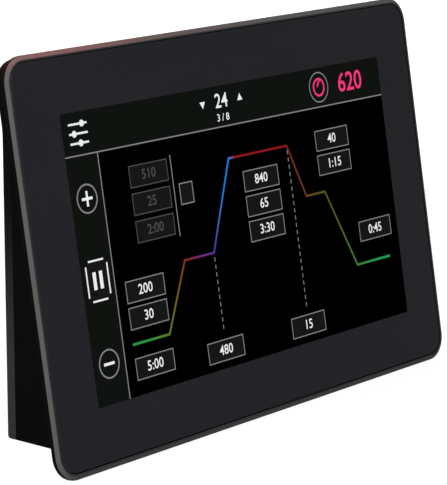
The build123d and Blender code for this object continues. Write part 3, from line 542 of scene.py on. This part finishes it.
FINISHES = {
    "tinted_glass": border_glass,
    "gloss_black_frame": frame_black_with_painted_shade,
    "matte_black_housing": housing_black,
    "satin_black_cover": cover_black_with_painted_sheen,
    "foam_tape": foam,
    "display_glass": cell,
    "sheet_steel": sheet_steel,
    "screw_steel": screw_steel,
    "brass": brass,
    "circuit_board": board_green,
    "chip_plastic": chip_black,
    "aluminium": aluminium,
    "connector_plastic": cream,
    "cable_film": film,
    "nickel": nickel,
    "black_insert": insert_black,
    "button_plastic": key_black,
}
OWN_FINISHES = {"usb_flap": rubber_black}


def dress_nodes():
    """Each CAD node gets the finish of its material slot."""
    for part in frame["record"]["subparts"]:
        finish = OWN_FINISHES.get(part["node"], FINISHES[part["material_slot"]])
        mesh = frame["nodes"][part["node"]].data
        mesh.materials.clear()
        mesh.materials.append(finish)


# ---------------------------------------------------------------- making pieces
def new_piece(name, shape, materials, body, where=SCREEN):
    """A finished piece: the shape is in millimetres, in the screen's frame unless told otherwise."""
    bmesh.ops.recalc_face_normals(shape, faces=shape.faces)
    shape.transform(TO_METRES @ where)
    mesh = bpy.data.meshes.new(name)
    shape.to_mesh(mesh)
    shape.free()
    for material in materials:
        mesh.materials.append(material)
    piece = bpy.data.objects.new(name, mesh)
    bpy.context.scene.collection.objects.link(piece)
    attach(piece, body)
    return piece


def raise_faces(shape, faces, thickness):
    """Gives flat faces a thickness, their backs kept."""
    pushed = bmesh.ops.extrude_face_region(shape, geom=faces, use_keep_orig=True)["geom"]
    raised = [item for item in pushed if isinstance(item, bmesh.types.BMVert)]
    bmesh.ops.translate(shape, vec=(0, 0, thickness), verts=raised)


def plate(shape, width, height, thickness, corner=0.0, middle=(0, 0), base=0.0, turn=0.0):
    """Adds a thin flat plate, its corners rounded if asked."""
    made = bmesh.ops.create_grid(shape, x_segments=1, y_segments=1, size=0.5)["verts"]
    bmesh.ops.scale(shape, vec=(width, height, 1), verts=made)
    if corner:
        made = bmesh.ops.bevel(
            shape, geom=made, offset=corner, segments=10, profile=0.5, affect="VERTICES", material=-1,
        )["verts"]
    bmesh.ops.rotate(shape, cent=(0, 0, 0), matrix=Matrix.Rotation(turn, 3, "Z"), verts=made)
    bmesh.ops.translate(shape, vec=(*middle, base), verts=made)
    raise_faces(shape, list(made[0].link_faces), thickness)


# ---------------------------------------------------------------- cover glass
def cover_glass():
    """The glass: a rounded sheet with a ground edge, its picture area marked off in the front."""
    shape = bmesh.new()
    corners = bmesh.ops.create_grid(shape, x_segments=1, y_segments=1, size=0.5)["verts"]
    bmesh.ops.scale(shape, vec=(*GLASS, 1), verts=corners)
    bmesh.ops.bevel(
        shape, geom=corners, offset=GLASS_CORNER, segments=16, profile=0.5, affect="VERTICES",
        material=-1,
    )
    bmesh.ops.translate(shape, vec=(0, 0, GLASS_TOP - GLASS_THICKNESS), verts=shape.verts)
    raise_faces(shape, list(shape.faces), GLASS_THICKNESS)
    front = max(shape.faces, key=lambda face: face.calc_center_median().z)
    bmesh.ops.bevel(
        shape, geom=list(front.edges), offset=GLASS_BEVEL, segments=3, profile=0.5, affect="EDGES",
        material=1,
    )
    for axis, middle, half in ((0, PICTURE_SHIFT, PICTURE[0] / 2), (1, 0.0, PICTURE[1] / 2)):
        for side in (-1, 1):
            cut = Vector((0, 0, 0))
            cut[axis] = middle + side * half
            normal = Vector((0, 0, 0))
            normal[axis] = 1
            front_faces = [face for face in shape.faces if face.normal.z > 0.9]
            bmesh.ops.bisect_plane(
                shape, geom=front_faces + list({edge for face in front_faces for edge in face.edges}),
                plane_co=cut, plane_no=normal,
            )
    for face in shape.faces:
        middle = face.calc_center_median()
        inside = abs(middle.x - PICTURE_SHIFT) < PICTURE[0] / 2 and abs(middle.y) < PICTURE[1] / 2
        if inside and middle.z > GLASS_TOP - 0.01:
            face.material_index = 2
    piece = new_piece("glass_sheet", shape, [border_glass, glass_edge, picture_glass], "unit")
    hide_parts("cover_glass")


# ---------------------------------------------------------------- the picture on the display
WHITE = light_of("picture white", (0.9, 0.91, 0.93, 1), 1.0)
LINE = light_of("picture lines", grey(0.24), 1.0)
FAINT = light_of("picture grey", grey(0.075), 1.0)
PINK = light_of("picture pink", (0.95, 0.045, 0.21, 1), 1.0)
BAND = light_of("picture band", (0.0055, 0.007, 0.0055, 1), 1.0)
FIELD = light_of("picture fields", (0.0085, 0.009, 0.0085, 1), 1.0)
CURVE = light_of("picture curve", None, 1.0, ramp=(
    (0.0, (0.014, 0.3, 0.07, 1)),
    (0.17, (0.03, 0.3, 0.05, 1)),
    (0.25, (0.15, 0.15, 0.012, 1)),
    (0.31, (0.24, 0.02, 0.015, 1)),
    (0.39, (0.1, 0.03, 0.32, 1)),
    (0.44, (0.014, 0.2, 0.66, 1)),
    (0.47, (0.02, 0.2, 0.7, 1)),
    (0.49, (0.28, 0.01, 0.014, 1)),
    (0.65, (0.26, 0.01, 0.012, 1)),
    (0.70, (0.15, 0.05, 0.016, 1)),
    (0.80, (0.09, 0.12, 0.014, 1)),
    (0.92, (0.015, 0.34, 0.09, 1)),
))


# Places on the picture, in millimetres right of and below its top left corner
CURVE_PATH = (
    (26.0, 103.0), (50.0, 103.0), (66.0, 73.0), (86.0, 73.0), (104.0, 33.0), (146.0, 33.0),
    (156.0, 58.0), (170.0, 58.0), (188.0, 96.0), (214.0, 96.0),
)
DROP_LINES = ((86.0, 75.0, 112.0), (146.0, 35.0, 112.0))
VALUES = (
    (38.5, 80.5, "200"), (38.5, 92.0, "30"), (38.5, 114.0, "5:00"), (86.0, 117.0, "480"),
    (125.0, 45.0, "840"), (125.0, 56.5, "65"), (125.0, 68.0, "3:30"), (146.0, 117.0, "15"),
    (180.0, 34.0, "40"), (180.0, 45.5, "1:15"), (205.0, 81.0, "0:45"),
)
DIM_VALUES = ((50.0, 32.0, "510"), (50.0, 44.0, "25"), (50.0, 56.0, "2:00"))


def across(x, y):
    """A place on the picture, from its top left corner, in the screen's frame."""
    return x - PICTURE[0] / 2 + PICTURE_SHIFT, PICTURE[1] / 2 - y


class Picture:
    """Collects the flat marks of one colour, at one level, into one piece."""

    def __init__(self, name, material, layer):
        self.name, self.material = name, material
        self.base = MARK_LEVEL + layer * MARK_STEP
        self.shape = bmesh.new()

    def bar(self, x, y, width, height, corner=0.0, turn=0.0):
        plate(self.shape, width, height, MARK_STEP / 2, corner, across(x, y), self.base, turn)

    def outline(self, x, y, width, height, line=OUTLINE_WIDTH):
        for side in (-1, 1):
            self.bar(x, y + side * (height - line) / 2, width, line)
            self.bar(x + side * (width - line) / 2, y, line, height - 2 * line)

    def ring(self, x, y, radius, line=None, sides=40, turn=0.0):
        """A ring of that line width, or a filled disc; few sides make a polygon."""
        made = bmesh.ops.create_circle(
            self.shape, cap_ends=True, segments=sides, radius=radius,
        )["verts"]
        bmesh.ops.rotate(
            self.shape, cent=(0, 0, 0), matrix=Matrix.Rotation(turn, 3, "Z"), verts=made
        )
        bmesh.ops.translate(self.shape, vec=(*across(x, y), self.base), verts=made)
        face = next(iter(made[0].link_faces))
        faces = [face]
        if line:
            faces = bmesh.ops.inset_region(
                self.shape, faces=[face], thickness=line, use_boundary=True
            )["faces"]
            bmesh.ops.delete(self.shape, geom=[face], context="FACES")
        raise_faces(self.shape, faces, MARK_STEP / 2)

    def stroke(self, points, width):
        """A drawn line through the points, pressed nearly flat."""
        line = bpy.data.curves.new("stroke", "CURVE")
        line.dimensions = "3D"
        line.bevel_depth = width / 2
        line.bevel_resolution = 1
        line.use_fill_caps = True
        spline = line.splines.new("POLY")
        spline.points.add(len(points) - 1)
        for point, place in zip(spline.points, points):
            point.co = (*across(*place), 0, 1)
        pressed = Matrix.Scale(STROKE_FLATNESS, 4, (0, 0, 1))
        self.take(line, Matrix.Translation((0, 0, self.base)) @ pressed)

    def number(self, x, y, words, size):
        """Digits, centred on a place; size is their height."""
        text = bpy.data.curves.new("digits", "FONT")
        text.body = words
        text.size = size * DIGIT_EM
        text.align_x, text.align_y = "CENTER", "CENTER"
        text.resolution_u = 3
        text.offset = DIGIT_WEIGHT * size
        text.extrude = MARK_STEP / 4
        self.take(text, Matrix.Translation((*across(x, y), self.base)))

    def take(self, data, where):
        """Adds the mesh of a curve or text, moved into place."""
        holder = bpy.data.objects.new("holder", data)
        bpy.context.scene.collection.objects.link(holder)
        mesh = bpy.data.meshes.new_from_object(holder)
        bpy.data.objects.remove(holder)
        mesh.transform(where)
        self.shape.from_mesh(mesh)
        bpy.data.meshes.remove(mesh)

    def finish(self):
        new_piece(self.name, self.shape, [self.material], "unit")


def header_marks(line, white, pink):
    """Three sliders, a page number between its arrows, and a reading beside its dial."""
    for step, knob in zip((-1, 0, 1), KNOB_SHIFTS):
        y = HEADER / 2 + step * SLIDER_PITCH
        white.bar(COLUMN / 2, y, SLIDER_LENGTH, SLIDER_WIDTH)
        white.ring(COLUMN / 2 + knob, y, KNOB_RADIUS)
    white.number(PAGE_X, PAGE_Y, "24", PAGE_HEIGHT)
    white.number(PAGE_X, COUNT_Y, "3 / 8", COUNT_HEIGHT)
    for side in (-1, 1):
        turn = math.pi / 2 * (1 - side)
        white.ring(PAGE_X + side * ARROW_REACH, PAGE_Y, ARROW_RADIUS, sides=3, turn=turn)
    pink.number(READING_X, READING_Y, "620", READING_HEIGHT)
    line.ring(DIAL_X, HEADER / 2, DIAL_RADIUS, RULE_WIDTH)
    pink.ring(DIAL_X, HEADER / 2, DIAL_CORE_RADIUS, DIAL_CORE_WIDTH)
    pink.bar(DIAL_X, HAND_Y, HAND_WIDTH, HAND_LENGTH, turn=HAND_TURN)


def key_marks(fill, line, white):
    """The left column's keys: plus above, pause in a broken frame, minus below."""
    for y in (PLUS_Y, MINUS_Y):
        line.ring(COLUMN / 2, y, KEY_RADIUS, KEY_RING_WIDTH)
        white.bar(COLUMN / 2, y, SIGN_LENGTH, SIGN_WIDTH)
    white.bar(COLUMN / 2, PLUS_Y, SIGN_WIDTH, SIGN_LENGTH)
    fill.bar(COLUMN / 2, PAUSE_Y, *PAUSE_FIELD, PAUSE_CORNER)
    reach_x, reach_y = PAUSE_FRAME_REACH
    level, upright = PAUSE_FRAME_BARS
    for side in (-1, 1):
        white.bar(COLUMN / 2, PAUSE_Y + side * reach_y, level, PAUSE_FRAME_WIDTH)
        white.bar(COLUMN / 2 + side * reach_x, PAUSE_Y, PAUSE_FRAME_WIDTH, upright)
        white.bar(COLUMN / 2 + side * PAUSE_REACH, PAUSE_Y, *PAUSE_BAR)


def field(x, y, words, fill, edge, ink):
    """A filled, outlined box with a value in it."""
    fill.bar(x, y, *FIELD_SIZE)
    edge.outline(x, y, *FIELD_SIZE)
    ink.number(x, y, words, VALUE_HEIGHT)


def curve_marks(curve, fill, line, faint, white):
    """The stepped curve, its dashed drop lines, and the values along it."""
    curve.stroke(CURVE_PATH, CURVE_WIDTH)
    for x, start, end in DROP_LINES:
        for index in range(int((end - start) / DASH_PITCH)):
            line.bar(x, start + DASH_PITCH * index + DASH_START, THIN_LINE, DASH_LENGTH)
    for x, y, words in VALUES:
        field(x, y, words, fill, line, white)
    for x, y, words in DIM_VALUES:
        field(x, y, words, fill, faint, faint)
    line.bar(DIVIDER_X, SMALL_FIELD_Y, THIN_LINE, DIVIDER_LENGTH)
    small_field = (SMALL_FIELD_X, SMALL_FIELD_Y, SMALL_FIELD_WIDTH, FIELD_SIZE[1])
    fill.bar(*small_field)
    line.outline(*small_field, THIN_LINE)


def picture():
    """A made-up controller picture: keys on the left, a reading, and a stepped curve with values."""
    width, height = PICTURE
    band = Picture("picture_band", BAND, 0)
    curve = Picture("picture_curve", CURVE, 1)
    fill = Picture("picture_fields", FIELD, 2)
    line = Picture("picture_lines", LINE, 3)
    faint = Picture("picture_grey", FAINT, 3)
    white = Picture("picture_white", WHITE, 4)
    pink = Picture("picture_reading", PINK, 4)

    band.bar(width / 2, HEADER / 2, width, HEADER)
    band.bar(COLUMN / 2, (height + HEADER) / 2, COLUMN, height - HEADER)
    line.bar(width / 2, HEADER, width, RULE_WIDTH)
    line.bar(COLUMN, (height + HEADER) / 2, RULE_WIDTH, height - HEADER)
    header_marks(line, white, pink)
    key_marks(fill, line, white)
    curve_marks(curve, fill, line, faint, white)
    for marks in (band, curve, fill, line, faint, white, pink):
        marks.finish()


# ---------------------------------------------------------------- small marks on the body
def standby_mark():
    """The ring and bar on the standby button."""
    low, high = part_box("standby_button")
    middle = ((low.y + high.y) / 2 / MM, (low.z + high.z) / 2 / MM)
    shape = bmesh.new()
    made = bmesh.ops.create_circle(shape, cap_ends=True, segments=36, radius=STANDBY_RADIUS)["verts"]
    face = next(iter(made[0].link_faces))
    bmesh.ops.inset_region(shape, faces=[face], thickness=STANDBY_LINE, use_boundary=True)
    gap = [face] + [
        ring for ring in shape.faces
        if ring is not face and ring.calc_center_median().normalized().y > STANDBY_GAP
    ]
    bmesh.ops.delete(shape, geom=gap, context="FACES")
    bar = bmesh.ops.create_grid(shape, x_segments=1, y_segments=1, size=0.5)["verts"]
    bmesh.ops.scale(shape, vec=(STANDBY_LINE, STANDBY_BAR_LENGTH, 1), verts=bar)
    bmesh.ops.translate(shape, vec=(0, STANDBY_BAR_RISE, 0), verts=bar)
    raise_faces(shape, list(shape.faces), PRINT_THICKNESS)
    turned = Matrix((
        (0, 0, 1, high.x / MM + PRINT_LIFT),
        (1, 0, 0, middle[0]),
        (0, 1, 0, middle[1]),
        (0, 0, 0, 1),
    ))
    white_print = plastic("white print", grey(0.55), grey(0.5), roughness=0.5, grain=1200.0, depth=0.1)
    new_piece("standby_mark", shape, [white_print], "button", turned)


# ---------------------------------------------------------------- floor, lamps and camera
def seen_directly(tree):
    """1 where the background is seen by the camera, in a reflection or through glass; else 0."""
    path = tree.nodes.new("ShaderNodeLightPath")
    seen = maths(tree, "MAXIMUM", path.outputs["Is Camera Ray"], path.outputs["Is Glossy Ray"])
    return maths(tree, "MAXIMUM", seen, path.outputs["Is Transmission Ray"])


def hang_lamp(name, place, target, side, power, colour):
    """A square lamp that the camera doesn't see."""
    data = bpy.data.lights.new(name, "AREA")
    data.shape = "RECTANGLE"
    data.size = data.size_y = side
    data.energy = power
    data.color = colour
    lamp = bpy.data.objects.new(name, data)
    bpy.context.scene.collection.objects.link(lamp)
    lamp.location = place
    direction = Vector(target) - Vector(place)
    lamp.rotation_euler = direction.to_track_quat("-Z", "Y").to_euler()
    lamp.visible_camera = False


def stage():
    """A white floor and surround, and the lamps, with a small red one over the top left edge."""
    floor_level = cad_box[0][2]
    shape = bmesh.new()
    bmesh.ops.create_grid(shape, x_segments=1, y_segments=1, size=FLOOR_HALF_WIDTH)
    bmesh.ops.translate(shape, vec=(0, 0, floor_level), verts=shape.verts)
    mesh = bpy.data.meshes.new("floor")
    shape.to_mesh(mesh)
    shape.free()
    floor = bpy.data.objects.new("floor", mesh)
    bpy.context.scene.collection.objects.link(floor)
    pale = bpy.data.materials.new("pale floor")
    pale.use_nodes = True
    tree = pale.node_tree
    shader = tree.nodes["Principled BSDF"]
    shader.inputs["Base Color"].default_value = grey(FLOOR_TONE)
    shader.inputs["Roughness"].default_value = 0.9
    shader.inputs["Specular IOR Level"].default_value = 0.1
    distance = tree.nodes.new("ShaderNodeVectorMath")
    distance.operation = "LENGTH"
    tree.links.new(object_place(tree), distance.inputs[0])
    fade = tree.nodes.new("ShaderNodeMapRange")
    fade.inputs["From Min"].default_value, fade.inputs["From Max"].default_value = GLOW_FADE
    fade.inputs["To Min"].default_value = GLOW_NEAR
    fade.inputs["To Max"].default_value = GLOW_FAR
    tree.links.new(distance.outputs["Value"], fade.inputs["Value"])
    glow = maths(tree, "MULTIPLY", seen_directly(tree), fade.outputs["Result"])
    shader.inputs["Emission Color"].default_value = grey(1.0)
    tree.links.new(glow, shader.inputs["Emission Strength"])
    from_below = tree.nodes.new("ShaderNodeNewGeometry").outputs["Backfacing"]
    above = maths(tree, "SUBTRACT", 1.0, from_below)
    tree.links.new(above, shader.inputs["Alpha"])
    mesh.materials.append(pale)

    world = bpy.data.worlds.new("studio")
    bpy.context.scene.world = world
    world.use_nodes = True
    sky = world.node_tree.nodes["Background"]
    sky.inputs["Color"].default_value = grey(1.0)
    tree = world.node_tree
    strength = maths(tree, "MULTIPLY_ADD", seen_directly(tree), SKY_SEEN, SKY_LIGHT)
    tree.links.new(strength, sky.inputs["Strength"])

    for lamp in LAMPS:
        hang_lamp(*lamp)


def camera():
    """The viewpoint: from the left, a little above, with a long lens."""
    data = bpy.data.cameras.new("camera")
    data.lens = CAMERA_LENS
    data.sensor_width = 36.0
    data.sensor_fit = "AUTO"
    view = bpy.data.objects.new("camera", data)
    bpy.context.scene.collection.objects.link(view)
    forward = Vector(CAMERA_FORWARD).normalized()
    right = forward.cross(Vector((0, 0, 1))).normalized()
    up = right.cross(forward)
    turn = Matrix((right, up, -forward)).transposed().to_4x4()
    view.matrix_world = Matrix.Translation(Vector(CAMERA_PLACE) * MM) @ turn
    bpy.context.scene.camera = view


camera()
dress_nodes()
cover_glass()
picture()
standby_mark()
stage()
bpy.context.scene.view_settings.view_transform = "Standard"
